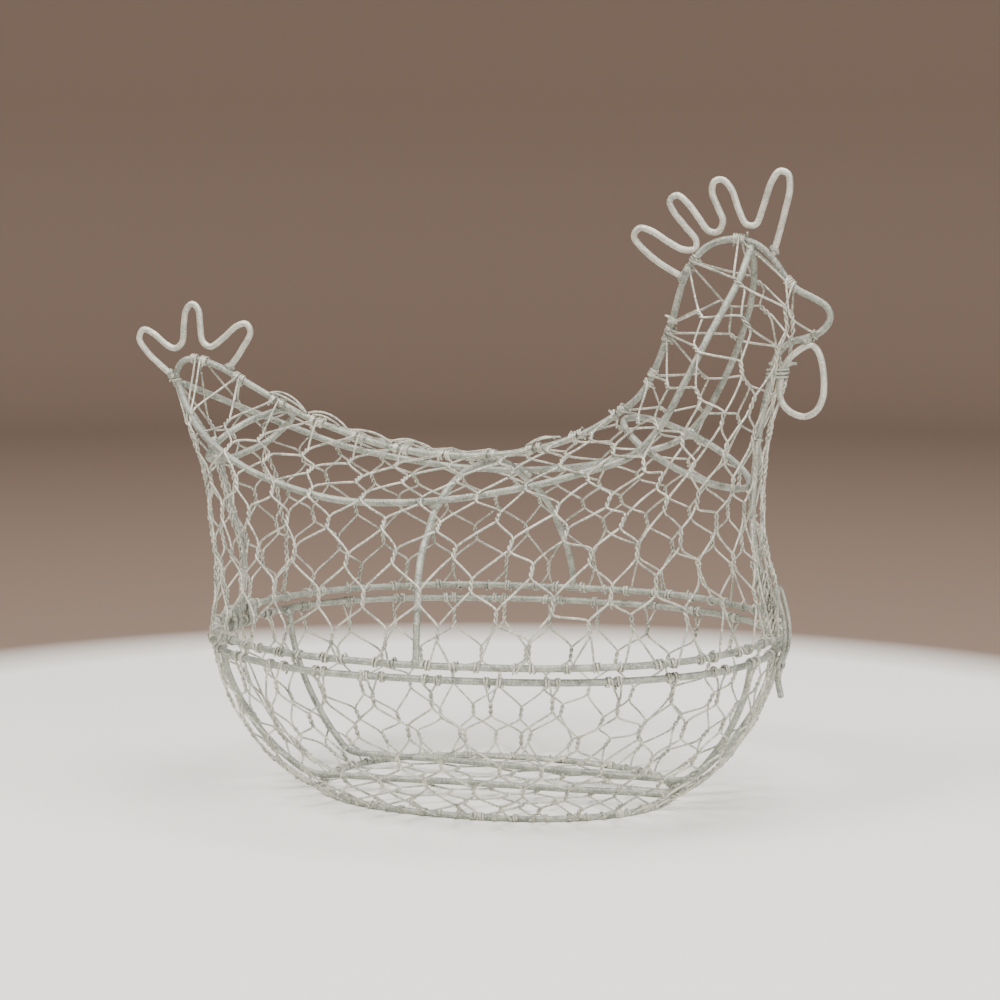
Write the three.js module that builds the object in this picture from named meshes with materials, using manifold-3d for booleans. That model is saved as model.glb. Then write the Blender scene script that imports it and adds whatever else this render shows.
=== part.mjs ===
// A hen-shaped wire egg basket: an oval wire bowl with a hen-shaped wire lid hinged at the tail.
// Millimetres, +Z up. X runs from tail to head, Y from side to side, and the base ring rests on Z = 0.
import * as THREE from "three";
import { mergeVertices } from "three/addons/utils/BufferGeometryUtils.js";
import Module from "manifold-3d";

const wasm = await Module();
wasm.setup();

// Wire gauges (radii)
const FRAME_R = 1.7;
const TRIM_R = 1.6;
const CLIP_R = 1.1;
const TIE_R = 0.7;
const NETTING_THICKNESS = 0.8;
const GAP = 0.35;

// Heights above the table
const BOWL_RIM_Z = 79;
const LID_RIM_Z = 86;
const FLOOR_Z = 4.1;
const BASE_RING_Z = 1.2;
const RIB_FLOOR_Z = 7;

// Plan of the two rims and the base, as half lengths and half widths of a rounded oval
const OVAL_POWER = 2.25;
const LID_RIM = [143, 126];
const BOWL_RIM = [144, 125];
const BASE_OVAL = [92, 70];
const BOWL_POWER = 1.6;

// The head and tail tips that set the length, from the middle of the rims
const BEAK_TIP_X = 169.7;
const FEATHER_TIP_X = -199.3;
const CENTRE_X = -(BEAK_TIP_X + FEATHER_TIP_X) / 2;

// The profile wire, in the middle plane: [along, above the lid rim]
const SPINE = [
  [-142.5, 2.1], [-141, 26], [-143.5, 40], [-149, 57], [-154.5, 78], [-163, 93], [-172, 106],
  [-177, 117], [-178, 124], [-174, 130], [-166, 131], [-153, 127], [-130, 115], [-108, 104],
  [-86, 96], [-64, 89.5], [-36, 85.5], [-8, 85.5], [20, 90], [44, 98], [62, 108.5], [75, 119],
  [84, 135], [91, 155], [96, 173], [101, 184], [110, 193], [122, 196], [132, 194], [141, 187],
  [148, 177], [153, 172], [161, 168], [168, 163.5], [169.7, 158], [165, 151.5], [158, 148.5],
  [149, 145.5], [143.5, 139], [141, 128], [138, 116], [135, 100], [133, 80], [132.5, 60],
  [134, 43], [138, 29], [142, 14], [143, 2.1],
];
const TAIL_TIP = 7; // index in SPINE where the rear post meets the side rails
const CROWN = 27; // index in SPINE of the top of the head

// One side rail: [along, out from the middle, above the lid rim]
const RAIL = [
  [-174.5, 4.3, 117], [-163, 21, 109], [-139, 47, 94], [-105, 66, 80], [-60, 80, 71], [-16, 75, 70],
  [25, 57, 75], [60, 48, 84], [84, 46.5, 93], [97, 45.5, 107], [110, 44, 131], [121, 33, 156],
  [128, 16, 176], [130.5, 4, 190],
];

// Half of the cross hoop over the belly, from the lid rim to the middle
const BELLY_HOOP = [[2, 125.4, 2.2], [1, 121, 19], [-3, 107, 42], [-6, 86, 58.5], [-8, 69, 66.8],
  [-8, 46, 76], [-8, 22, 80.5], [-8, 0, 81.4]];

// Slanted hoops inside the neck and the tail: middle, direction of the long slope, half sizes
const NECK_HOOP = { middle: [99, 90.5], slope: [68, -37], half: [34.6, 43.5] };
const TAIL_HOOP = { middle: [-135.5, 92], slope: [17.5, 16], half: [19.3, 43.5] };

// Comb and tail feathers, each one bent wire in the middle plane
const COMB = [
  [95.3, 177.4], [84, 184], [74, 192.5], [71, 197], [73.5, 200.8], [79, 200], [89, 194], [96, 190.5],
  [102, 191], [102.5, 195], [97, 202], [91, 209.5], [89.3, 214.5], [93, 217], [98.5, 213], [104, 206],
  [109, 199.8], [113.5, 199.5], [116, 204.5], [113.5, 211], [110.5, 218.5], [111.5, 223.5],
  [115.5, 224.5], [120, 220], [124, 210], [128, 203], [132.5, 203], [136, 211], [140, 223.5],
  [144, 228.8], [148, 227.5], [149, 221], [146.5, 208], [143.7, 197], [141.9, 190.8],
];
const FEATHERS = [
  [-181.4, 122.8], [-188, 128], [-196, 135.5], [-199.3, 141.5], [-197, 146], [-191, 144],
  [-184, 138.5], [-178.5, 136.5], [-174.5, 140], [-173.5, 149], [-172, 157], [-168.5, 160],
  [-165, 157], [-164, 148], [-162.5, 140], [-158.5, 137.5], [-151, 142.5], [-143, 149],
  [-138, 150], [-135.5, 146], [-140, 137], [-147.6, 127.1],
];
const WATTLE = [
  [160.5, 145.2], [154, 141.8], [149, 137], [146.3, 130.5], [145.2, 123], [147, 116], [152, 111.3],
  [157.5, 110], [163, 112.5], [166.5, 118.5], [167.3, 127], [166, 136], [163.5, 143],
];

// The bowl's two lengthwise hoops: where each meets the wall at the tail and at the head (angles in
// plan, from the head), and how far down the wall its points are
const RIB_TAIL_ANGLE = Math.PI * 0.895;
const RIB_HEAD_ANGLE = Math.PI * 0.057;
const RIB_DROPS = [0.035, 0.25, 0.5, 0.7, 0.85, 0.95];

// The clip at the breast: its side profile, its half width and its finger tab
const CLIP_PROFILE = [[145.8, 24], [149.5, 15], [152, 4], [151, -6], [148.6, -13]];
const CLIP_HALF_WIDTH = 6;
const CLIP_TAB = [[149.2, -14], [148.6, -20], [150.2, -29]];

// Ties that hold the two rims together at the tail, at these places from the middle
const HINGE_TIES = [-13, -7, 7, 13];
const BINDING_TURNS = 3;

// How far the netting keeps from the wires in the middle plane, and how far it stands off the rails
const NETTING_EDGE = 4.4;
const NETTING_STANDOFF = 3.6;

const galvanised = () => new THREE.MeshStandardMaterial({ color: 0x9aa39c, roughness: 0.62, metalness: 0.75 });
const paleGalvanised = () => new THREE.MeshStandardMaterial({ color: 0xb9bcb2, roughness: 0.6, metalness: 0.7 });
const nettingWire = () => new THREE.MeshStandardMaterial({ color: 0xa7aca3, roughness: 0.55, metalness: 0.75 });
const tieWire = () => new THREE.MeshStandardMaterial({ color: 0x868f88, roughness: 0.6, metalness: 0.75 });

const group = new THREE.Group();
const bowl = new THREE.Group();
const lid = new THREE.Group();
bowl.position.set(CENTRE_X, 0, 0);
lid.position.set(CENTRE_X, 0, LID_RIM_Z);
group.add(bowl, lid);

const vec = (p) => new THREE.Vector3(...p);
const inMiddle = (points) => points.map(([x, z]) => new THREE.Vector3(x, 0, z));
const smooth = (points, closed = false) => new THREE.CatmullRomCurve3(points, closed, "centripetal");

function addMesh(parent, name, geometry, material) {
  const mesh = new THREE.Mesh(geometry, material);
  mesh.name = name;
  parent.add(mesh);
  return mesh;
}

// A bent wire with flat ends.
function wire(curve, radius, step = 9, sides = 6) {
  const section = new THREE.Shape();
  for (let i = 0; i < sides; i++) {
    const a = (2 * Math.PI * i) / sides;
    section[i ? "lineTo" : "moveTo"](radius * Math.cos(a), radius * Math.sin(a));
  }
  section.closePath();
  return new THREE.ExtrudeGeometry(section, {
    steps: Math.max(4, Math.round(curve.getLength() / step)),
    extrudePath: curve,
    bevelEnabled: false,
  });
}

// A wire whose ends meet.
function loop(curve, radius, step = 14, sides = 6) {
  return new THREE.TubeGeometry(curve, Math.round(curve.getLength() / step), radius, sides, true);
}

// A point of a rounded oval at an angle.
function ovalPoint([length, width], angle, z = 0) {
  const bend = (v) => Math.sign(v) * Math.abs(v) ** (2 / OVAL_POWER);
  return new THREE.Vector3(length * bend(Math.cos(angle)), width * bend(Math.sin(angle)), z);
}

function ovalCurve(size, z) {
  const points = [];
  const count = 40;
  for (let i = 0; i < count; i++) points.push(ovalPoint(size, (2 * Math.PI * i) / count, z));
  return smooth(points, true);
}

// A closed body from a geometry: corners merged, and triangles that shrank to a line dropped.
function solid(geometry) {
  const bare = geometry.clone();
  bare.deleteAttribute("normal");
  bare.deleteAttribute("uv");
  const merged = mergeVertices(bare, 1e-3);
  const index = [];
  for (let i = 0; i < merged.index.count; i += 3) {
    const [a, b, c] = [0, 1, 2].map((k) => merged.index.getX(i + k));
    if (a !== b && b !== c && a !== c) index.push(a, b, c);
  }
  return new wasm.Manifold(
    new wasm.Mesh({
      numProp: 3,
      vertProperties: merged.attributes.position.array,
      triVerts: new Uint32Array(index),
    }),
  );
}

function geometryOf(manifold) {
  const mesh = manifold.getMesh();
  const geometry = new THREE.BufferGeometry();
  geometry.setAttribute("position", new THREE.BufferAttribute(Float32Array.from(mesh.vertProperties), 3));
  geometry.setIndex(new THREE.BufferAttribute(Uint32Array.from(mesh.triVerts), 1));
  geometry.computeVertexNormals();
  return geometry;
}

// The outward direction of the surface point(u, v), with u and v from 0 to 1.
function normalOf(point, u, v) {
  const eps = 2e-3;
  const du = point(Math.min(1, u + eps), v).sub(point(Math.max(0, u - eps), v));
  const dv = point(u, Math.min(1, v + eps)).sub(point(u, Math.max(0, v - eps)));
  return du.cross(dv).normalize();
}

// A thin closed sheet over the surface point(u, v).
function sheet(point, nu, nv, wrap = false) {
  const rows = nv + 1;
  const columns = wrap ? nu : nu + 1;
  const corner = [];
  for (const side of [1, -1])
    for (let j = 0; j < rows; j++)
      for (let i = 0; i < columns; i++) {
        const [u, v] = [i / nu, j / nv];
        corner.push(point(u, v).addScaledVector(normalOf(point, u, v), (side * NETTING_THICKNESS) / 2));
      }
  const at = (side, i, j) => side * rows * columns + j * columns + (wrap ? i % nu : i);
  const index = [];
  const quad = (a, b, c, d) => index.push(a, b, c, a, c, d);
  for (let j = 0; j < nv; j++)
    for (let i = 0; i < nu; i++) {
      quad(at(0, i, j), at(0, i + 1, j), at(0, i + 1, j + 1), at(0, i, j + 1));
      quad(at(1, i, j), at(1, i, j + 1), at(1, i + 1, j + 1), at(1, i + 1, j));
    }
  for (let i = 0; i < nu; i++) {
    quad(at(0, i, 0), at(1, i, 0), at(1, i + 1, 0), at(0, i + 1, 0));
    quad(at(0, i, nv), at(0, i + 1, nv), at(1, i + 1, nv), at(1, i, nv));
  }
  for (let j = 0; j < nv && !wrap; j++) {
    quad(at(0, 0, j), at(0, 0, j + 1), at(1, 0, j + 1), at(1, 0, j));
    quad(at(0, nu, j), at(1, nu, j), at(1, nu, j + 1), at(0, nu, j + 1));
  }
  const geometry = new THREE.BufferGeometry();
  geometry.setAttribute("position", new THREE.Float32BufferAttribute(corner.flatMap((p) => p.toArray()), 3));
  geometry.setIndex(index);
  return geometry;
}

const mirrored = (points) => points.map((p) => new THREE.Vector3(p.x, -p.y, p.z));

// ---- Bowl ----

// The bowl's wall, from the rim (drop 0) to the floor (drop 1).
function bowlPoint(angle, drop, inset = 0) {
  const narrowing = (1 - drop ** BOWL_POWER) ** (1 / BOWL_POWER);
  const size = BOWL_RIM.map((rim, k) => BASE_OVAL[k] + (rim - BASE_OVAL[k]) * narrowing - inset);
  return ovalPoint(size, angle, BOWL_RIM_Z - (BOWL_RIM_Z - FLOOR_Z) * drop);
}

function bowlRimRing() {
  return loop(ovalCurve(BOWL_RIM, BOWL_RIM_Z), FRAME_R);
}

// The ring that the basket stands on, worn flat underneath.
function baseRing() {
  const size = BASE_OVAL.map((half) => half - 1);
  const geometry = loop(ovalCurve(size, BASE_RING_Z), FRAME_R, 12, 8);
  const position = geometry.attributes.position;
  for (let i = 0; i < position.count; i++) position.setZ(i, Math.max(0, position.getZ(i)));
  return geometry;
}

function bowlNetting() {
  const wallShare = 0.8;
  const top = 0.06;
  return sheet((u, v) => {
    const angle = 2 * Math.PI * u;
    if (v < wallShare) return bowlPoint(angle, top + (1 - top) * Math.sin((v / wallShare) * (Math.PI / 2)));
    const shrink = 1 - (v - wallShare) / (1 - wallShare);
    return bowlPoint(angle, 1).multiply(new THREE.Vector3(shrink, shrink, 1));
  }, 32, 9, true);
}

// A lengthwise hoop, just inside the wall and above the floor; side is 1 or -1.
function bowlRib(side) {
  const wall = (angle) =>
    RIB_DROPS.map((drop) => {
      const p = bowlPoint(angle * side, drop, FRAME_R + 1.2 + 2.9 * drop ** 2);
      p.z = Math.max(p.z, RIB_FLOOR_Z);
      return p;
    });
  const [tail, head] = [wall(RIB_TAIL_ANGLE), wall(RIB_HEAD_ANGLE).reverse()];
  const floor = [0.1, 0.35, 0.65, 0.9].map((share) => {
    const p = tail[tail.length - 1].clone().lerp(head[0], share);
    p.z = RIB_FLOOR_Z;
    return p;
  });
  return wire(smooth([...tail, ...floor, ...head]), FRAME_R, 9);
}

// A tie round both rim wires, as a long link.
function hingeTie(offset) {
  const reach = FRAME_R + GAP + TIE_R + 0.7;
  const middle = -(LID_RIM[0] + BOWL_RIM[0]) / 2 + 0.4;
  const points = [];
  for (const [z, turn] of [[LID_RIM_Z, 0], [BOWL_RIM_Z, Math.PI]])
    for (let k = 0; k <= 4; k++) {
      const a = turn + (Math.PI * k) / 4;
      points.push(new THREE.Vector3(middle + reach * Math.cos(a), offset, z + reach * Math.sin(a)));
    }
  return loop(smooth(points, true), TIE_R, 2.4);
}

// ---- Lid ----

const lidRimCurve = ovalCurve(LID_RIM, 0);
const railPoints = RAIL.map(vec);

function hoop({ middle, slope, half }, radius = FRAME_R) {
  const along = new THREE.Vector3(slope[0], 0, slope[1]).normalize();
  const points = [];
  for (let i = 0; i < 24; i++) {
    const a = (2 * Math.PI * i) / 24;
    const p = new THREE.Vector3(middle[0], 0, middle[1]).addScaledVector(along, half[0] * Math.cos(a));
    p.y = half[1] * Math.sin(a);
    points.push(p);
  }
  return loop(smooth(points, true), radius, 8);
}

function bellyHoop() {
  const half = BELLY_HOOP.map(vec);
  return wire(smooth([...half, ...mirrored(half.slice(0, -1)).reverse()]), FRAME_R);
}

// The surface of the hen's left side, held by the lid rim, the side rail and the profile wire.
const rearPost = smooth(inMiddle([[-143, 0], ...SPINE.slice(1, TAIL_TIP + 1)]));
const breast = smooth(inMiddle([[143, 0], ...SPINE.slice(39, -1).reverse(), [148, 146], [150, 160], [147, 176],
  [140, 187], [131, 194]]));
const back = smooth(inMiddle(SPINE.slice(TAIL_TIP, CROWN + 2)));
const railLine = smooth([vec([-177, 0, 117]), ...railPoints.slice(1, -1), vec([131, 0, 194])]);
const rimHalf = smooth(Array.from({ length: 25 }, (_, i) => ovalPoint(LID_RIM, Math.PI * (1 - i / 24))));

function sidePoint(u, v) {
  const low = rimHalf.getPointAt(u);
  const high = railLine.getPointAt(u);
  const straight = (a, b, t) => a.clone().lerp(b, t);
  const rear = rearPost.getPointAt(v).sub(straight(rearPost.getPointAt(0), rearPost.getPointAt(1), v));
  const front = breast.getPointAt(v).sub(straight(breast.getPointAt(0), breast.getPointAt(1), v));
  const p = straight(low, high, v);
  p.addScaledVector(rear, (1 - u) ** 2).addScaledVector(front, u ** 2);
  const bulge = 12.5 * Math.sin(Math.PI * v) * Math.sin(Math.PI * u);
  return p.add(new THREE.Vector3(0, bulge, bulge * 0.4));
}

function backPoint(u, w) {
  const p = railLine.getPointAt(u).lerp(back.getPointAt(u), w);
  p.z += 4 * Math.sin(Math.PI * w) * Math.sin(Math.PI * u);
  return p;
}

// The netting over one side and half of the back, clear of every frame wire.
function lidNetting() {
  const sideShare = 0.62;
  const shortfall = (v) => 0.013 + 0.013 * Math.min(1, v / sideShare);
  const bare = (share, v) => {
    const u = 1 - shortfall(v) - (1 - 2 * shortfall(v)) * share;
    const start = 0.055 + 0.05 * Math.max(0, 1 - u / 0.12);
    if (v < sideShare) return sidePoint(u, start + (1 - start) * (v / sideShare));
    const width = railLine.getPointAt(u).distanceTo(back.getPointAt(u));
    return backPoint(u, ((v - sideShare) / (1 - sideShare)) * (1 - NETTING_EDGE / width));
  };
  const held = (u, v) => {
    const rise = Math.min(1, (1 - v) / 0.1);
    const p = bare(u, v).addScaledVector(normalOf(bare, u, v), NETTING_STANDOFF * rise);
    p.y = Math.max(p.y, NETTING_EDGE * 0.6);
    return p;
  };
  return sheet(held, 34, 12);
}

// ---- Assembly ----

addMesh(bowl, "bowl_rim_ring", bowlRimRing(), galvanised());
addMesh(bowl, "base_ring", baseRing(), galvanised());
addMesh(bowl, "bowl_rib_left", bowlRib(1), galvanised());
addMesh(bowl, "bowl_rib_right", bowlRib(-1), galvanised());
addMesh(bowl, "bowl_netting", geometryOf(solid(bowlNetting())), nettingWire());
HINGE_TIES.forEach((offset, i) => addMesh(bowl, "hinge_tie_" + (i + 1), hingeTie(offset), tieWire()));

addMesh(lid, "lid_rim_ring", loop(lidRimCurve, FRAME_R), galvanised());
addMesh(lid, "spine_wire", wire(smooth(inMiddle(SPINE)), FRAME_R, 6), galvanised());
const rails = [smooth(railPoints), smooth(mirrored(railPoints))];
addMesh(lid, "side_rail_left", wire(rails[0], FRAME_R), galvanised());
addMesh(lid, "side_rail_right", wire(rails[1], FRAME_R), galvanised());
addMesh(lid, "belly_hoop", bellyHoop(), galvanised());
addMesh(lid, "neck_hoop", hoop(NECK_HOOP), galvanised());
addMesh(lid, "tail_hoop", hoop(TAIL_HOOP), galvanised());
addMesh(lid, "comb_wire", wire(smooth(inMiddle(COMB)), TRIM_R, 4), paleGalvanised());
addMesh(lid, "tail_feather_wire", wire(smooth(inMiddle(FEATHERS)), TRIM_R, 4), paleGalvanised());
addMesh(lid, "wattle_loop", loop(smooth(inMiddle(WATTLE), true), TRIM_R, 5), paleGalvanised());

// Three turns of thin wire that bind the wattle to the throat.
function wattleBinding() {
  const bottom = 127.5;
  const pitch = 1.9;
  const reach = TRIM_R + GAP + TIE_R + 0.35;
  const points = [];
  const perTurn = 10;
  for (let i = 0; i <= BINDING_TURNS * perTurn; i++) {
    const a = (2 * Math.PI * i) / perTurn;
    const height = (i / perTurn) * pitch;
    const middle = Math.cos(a) > 0 ? 145.9 + 0.27 * height : 141 + 0.18 * height;
    points.push(new THREE.Vector3(middle + reach * Math.cos(a), reach * Math.sin(a), bottom + height));
  }
  return wire(smooth(points), TIE_R, 2);
}
addMesh(lid, "wattle_binding", wattleBinding(), tieWire());

// A wire clip that hangs from the breast, snaps past the bowl's rim and ends in a finger tab.
function latchClip() {
  const side = (y, profile) => profile.map(([x, z]) => new THREE.Vector3(x, y, z));
  const points = [...side(CLIP_HALF_WIDTH, CLIP_PROFILE), ...side(-CLIP_HALF_WIDTH, CLIP_PROFILE).reverse()];
  const tab = wire(smooth(inMiddle(CLIP_TAB)), TRIM_R, 4);
  return geometryOf(solid(loop(smooth(points, true), CLIP_R, 3)).add(solid(tab)));
}
addMesh(lid, "latch_clip", latchClip(), galvanised());

// The netting is cut clear of the rails, where they come close to it.
function clearedNetting() {
  let netting = solid(lidNetting());
  const fat = FRAME_R + GAP;
  const cutters = [wire(rails[0], fat), hoop(NECK_HOOP, fat), hoop(TAIL_HOOP, fat)];
  for (const cutter of cutters) netting = netting.subtract(solid(cutter));
  return netting.decompose().sort((a, b) => b.volume() - a.volume())[0];
}
const left = geometryOf(clearedNetting());
addMesh(lid, "lid_netting_left", left, nettingWire());
const right = addMesh(lid, "lid_netting_right", left.clone(), nettingWire());
right.scale.y = -1;

export default group;
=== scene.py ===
import math

import bpy
import numpy as np
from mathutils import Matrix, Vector


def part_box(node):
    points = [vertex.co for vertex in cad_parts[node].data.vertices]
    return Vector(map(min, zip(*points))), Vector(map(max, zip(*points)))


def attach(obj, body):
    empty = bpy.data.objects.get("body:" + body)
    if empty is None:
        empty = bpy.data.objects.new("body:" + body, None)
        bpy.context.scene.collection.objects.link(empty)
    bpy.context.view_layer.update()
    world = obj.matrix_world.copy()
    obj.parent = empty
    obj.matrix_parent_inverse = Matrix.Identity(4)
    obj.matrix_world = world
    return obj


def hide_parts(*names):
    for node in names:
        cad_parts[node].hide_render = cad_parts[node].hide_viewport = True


# The looks of a hen-shaped wire egg basket: round frame wires, hexagonal netting twisted from
# pairs of thin wires, and the turns that hook it to the frame. Lengths are in millimetres, +X
# runs from tail to head and +Z is up; meshes are scaled to metres when they are made.

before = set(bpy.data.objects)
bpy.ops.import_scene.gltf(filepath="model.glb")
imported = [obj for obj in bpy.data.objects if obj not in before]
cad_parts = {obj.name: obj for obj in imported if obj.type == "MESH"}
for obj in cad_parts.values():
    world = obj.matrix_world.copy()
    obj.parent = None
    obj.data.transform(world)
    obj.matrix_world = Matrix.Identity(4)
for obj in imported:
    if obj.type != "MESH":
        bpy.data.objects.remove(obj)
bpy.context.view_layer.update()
MM = 0.001

# ---- Driving dimensions ----

FRAME_R = 1.7
TRIM_R = 1.6
CLIP_R = 1.1
TIE_R = 0.7
NET_R = 0.56
FRAME_SIDES = 14  # sides of the wires' round meshes
CLIP_SIDES = 12
WELD_SIDES = 10
TIE_SIDES = 8
NET_SIDES = 6
END_RINGS = ((0.55, 0.5), (0.35, 0.82))  # at a cut end: how far out and how thick, in radii
HOOK_GAP = 0.1  # between a frame wire and the net wire wound round it
HOOK_PITCH = 1.3  # from one turn of a hook to the next


def middle(node):
    """The middle of a CAD node's box, in millimetres."""
    low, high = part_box(node)
    return np.array((low + high) / 2) / MM


LID_ORIGIN = middle("lid_rim_ring") * [1, 0, 1]
BOWL_ORIGIN = LID_ORIGIN * [1, 0, 0]
BOWL_RIM_Z = middle("bowl_rim_ring")[2]
BASE_RING_Z = 1.2
FLOOR_Z = 4.1
RIB_FLOOR_Z = 7.0

# Plans of the rims and the base as half lengths and half widths of a rounded oval
OVAL_POWER = 2.25
LID_RIM = np.array([143.0, 126.0])
BOWL_RIM = np.array([144.0, 125.0])
BASE_OVAL = np.array([92.0, 70.0])
BASE_RING = BASE_OVAL - 1
BOWL_POWER = 1.6

# Wires in the middle plane: along, and above the lid rim
SPINE = [
    (-142.5, 2.1), (-141, 26), (-143.5, 40), (-149, 57), (-154.5, 78), (-163, 93), (-172, 106),
    (-177, 117), (-178, 124), (-174, 130), (-166, 131), (-153, 127), (-130, 115), (-108, 104),
    (-86, 96), (-64, 89.5), (-36, 85.5), (-8, 85.5), (20, 90), (44, 98), (62, 108.5), (75, 119),
    (84, 135), (91, 155), (96, 173), (101, 184), (110, 193), (122, 196), (132, 194), (141, 187),
    (148, 177), (153, 172), (161, 168), (168, 163.5), (169.7, 158), (165, 151.5), (158, 148.5),
    (149, 145.5), (143.5, 139), (141, 128), (138, 116), (135, 100), (133, 80), (132.5, 60),
    (134, 43), (138, 29), (142, 14), (143, 2.1),
]
TAIL_TIP = 7
CROWN = 27
BREAST_TOP = 39
RAIL = [
    (-174.5, 4.3, 117), (-163, 21, 109), (-139, 47, 94), (-105, 66, 80), (-60, 80, 71),
    (-16, 75, 70), (25, 57, 75), (60, 48, 84), (84, 46.5, 93), (97, 45.5, 107), (110, 44, 131),
    (121, 33, 156), (128, 16, 176), (130.5, 4, 190),
]
BELLY_HOOP = [
    (2, 125.4, 2.2), (1, 121, 19), (-3, 107, 42), (-6, 86, 58.5), (-8, 69, 66.8), (-8, 46, 76),
    (-8, 22, 80.5), (-8, 0, 81.4),
]
NECK_HOOP = {"middle": (99, 90.5), "slope": (68, -37), "half": (34.6, 43.5)}
TAIL_HOOP = {"middle": (-135.5, 92), "slope": (17.5, 16), "half": (19.3, 43.5)}
COMB = [
    (95.3, 177.4), (84, 184), (74, 192.5), (71, 197), (73.5, 200.8), (79, 200), (89, 194),
    (96, 190.5), (102, 191), (102.5, 195), (97, 202), (91, 209.5), (89.3, 214.5), (93, 217),
    (98.5, 213), (104, 206), (109, 199.8), (113.5, 199.5), (116, 204.5), (113.5, 211),
    (110.5, 218.5), (111.5, 223.5), (115.5, 224.5), (120, 220), (124, 210), (128, 203),
    (132.5, 203), (136, 211), (140, 223.5), (144, 228.8), (148, 227.5), (149, 221), (146.5, 208),
    (143.7, 197), (141.9, 190.8),
]
FEATHERS = [
    (-181.4, 122.8), (-188, 128), (-196, 135.5), (-199.3, 141.5), (-197, 146), (-191, 144),
    (-184, 138.5), (-178.5, 136.5), (-174.5, 140), (-173.5, 149), (-172, 157), (-168.5, 160),
    (-165, 157), (-164, 148), (-162.5, 140), (-158.5, 137.5), (-151, 142.5), (-143, 149),
    (-138, 150), (-135.5, 146), (-140, 137), (-147.6, 127.1),
]
WATTLE = [
    (160.5, 145.2), (154, 141.8), (149, 137), (146.3, 130.5), (145.2, 123), (147, 116),
    (152, 111.3), (157.5, 110), (163, 112.5), (166.5, 118.5), (167.3, 127), (166, 136),
    (163.5, 143),
]

# The bowl's two lengthwise ribs
RIB_TAIL_ANGLE = math.pi * 0.895
RIB_HEAD_ANGLE = math.pi * 0.057
RIB_DROPS = [0.035, 0.25, 0.5, 0.7, 0.85, 0.95]

# The clip and the ties
CLIP_PROFILE = [(145.8, 24), (148.7, 15), (150.6, 4), (149.6, -6), (147.2, -13)]
CLIP_HALF_WIDTH = 5
CLIP_TAB = [(147.5, -14), (146.2, -20), (147.8, -29)]
CLIP_STEP = 1.5  # along the wire, between the rings of its mesh
CLIP_FOOT = (147.3, -13.4)  # where the tab is bound to the clip
CLIP_FOOT_TURNS = 2.2
CLIP_FOOT_PITCH = 1.6
CLIP_FOOT_HALF = 1.8  # half the width of that binding
HINGE_TIES = [-13, -7, 7, 13]
HINGE_TIE_TURNS = 2.4
HINGE_TIE_PITCH = 1.5
BINDING_TURNS = 3
BINDING_PITCH = 1.9
BINDING_Z = 127.5
WATTLE_X = 145.9  # where the wattle and the throat pass the binding's foot, and their forward lean
WATTLE_LEAN = 0.27
THROAT_X = 141
THROAT_LEAN = 0.18
BINDING_END = [(149, -2.2, 134.2), (151.8, -2.6, 135.8), (154, -2.4, 136)]

# The netting's twists
TWIST_TURNS = 1.5
TWIST_HALF = 4.9  # half the length of a twist
TWIST_R = 0.72
PAIR_PITCH = 8.5  # length of a full turn where two edge wires are twisted together

# The lid's netting in columns from tail to head; its height is a share of the way up to the spine
NET_STANDOFF = 2.3
FLANK_BULGE = 12.5  # how far the netting stands out between the rim and the rail
TAIL_BULGE = 2.5  # how far it stands back behind the tail's post
BACK_BULGE = 4  # how far it rises between the rail and the spine
BREAST_SQUEEZE = 0.62  # the share of its width that it loses at the breast
BREAST_U = 0.86  # the share of the way from tail to head at which that begins
BEHIND_BEAK = [(148, 146), (150, 160), (147, 176), (140, 187), (131, 194)]
LID_COLUMNS = 16
LEAN_ROWS = 6
LOWEST_TWIST = 0.045
BODY_ROWS = 7
BODY_TOP = 0.9
HEAD_COLUMN = 13.5  # from here on the netting is a row higher
HEAD_ROWS = 8
HEAD_TOP = 0.855
HOOK_COLUMN = 0.46  # from a twist sideways to the hook of a wire that leaves it
# At the tail's tip and in the head the hooks on the spine gather: from these columns to those
COILS_FROM = (0, 0.5, 1, 13, 13.5, 14.5, 15.4, 16)
COILS_TO = (0, 0.18, 1, 13, 13.15, 14.5, 15.65, 15.9)
SLACK_COLUMNS = (3, 4, 5, 6, 9)  # where loops of slack wire stand above the spine
HEAD_FRONT = (148, 177)
BEAK_CORNER = (163, 150.6)

# The netting's twisted edges: the two shares of the spine between which each runs, and how far
# it lies to the side of the spine and forward of it
EDGE_PAIRS = ((0, 0.11, 2.6, 0.2), (1, 0.94, 2.6, 0.6), (1, 0.95, 3.8, -2.2), (1, 0.957, 1.6, 2.2))
CORNER_U = 0.1  # another lies on the corner behind the hen's flank
CORNER_LOW = 0.02
CORNER_HIGH = 0.55

# The bowl's netting, in columns round from the head and rows down the wall
BOWL_COLUMNS = 30
BOWL_PHASE = -0.16
WALL_ROWS = 5
FIRST_FALL = 11.5  # from the bowl's rim down the wall to the first row of twists
WALL_ROW = 18.2
# Loose edge wires down the wall: the column they lie at, and each one's place beside it
WALL_EDGES = ((0, (-0.34, -0.14, 0.1, 0.32)), (BOWL_COLUMNS / 2, (-0.1, 0.12)))
EDGE_TOP = -0.6  # the rows between which they run
EDGE_BOTTOM = 4.3
FLOOR_CELL = 28
FLOOR_ROW = 17
FLOOR_SPAN = 4  # rows and columns each way from the middle
FLOOR_REACH = 0.86  # as a share of the way from the middle to the base ring


# ---- Lines ----


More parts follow.
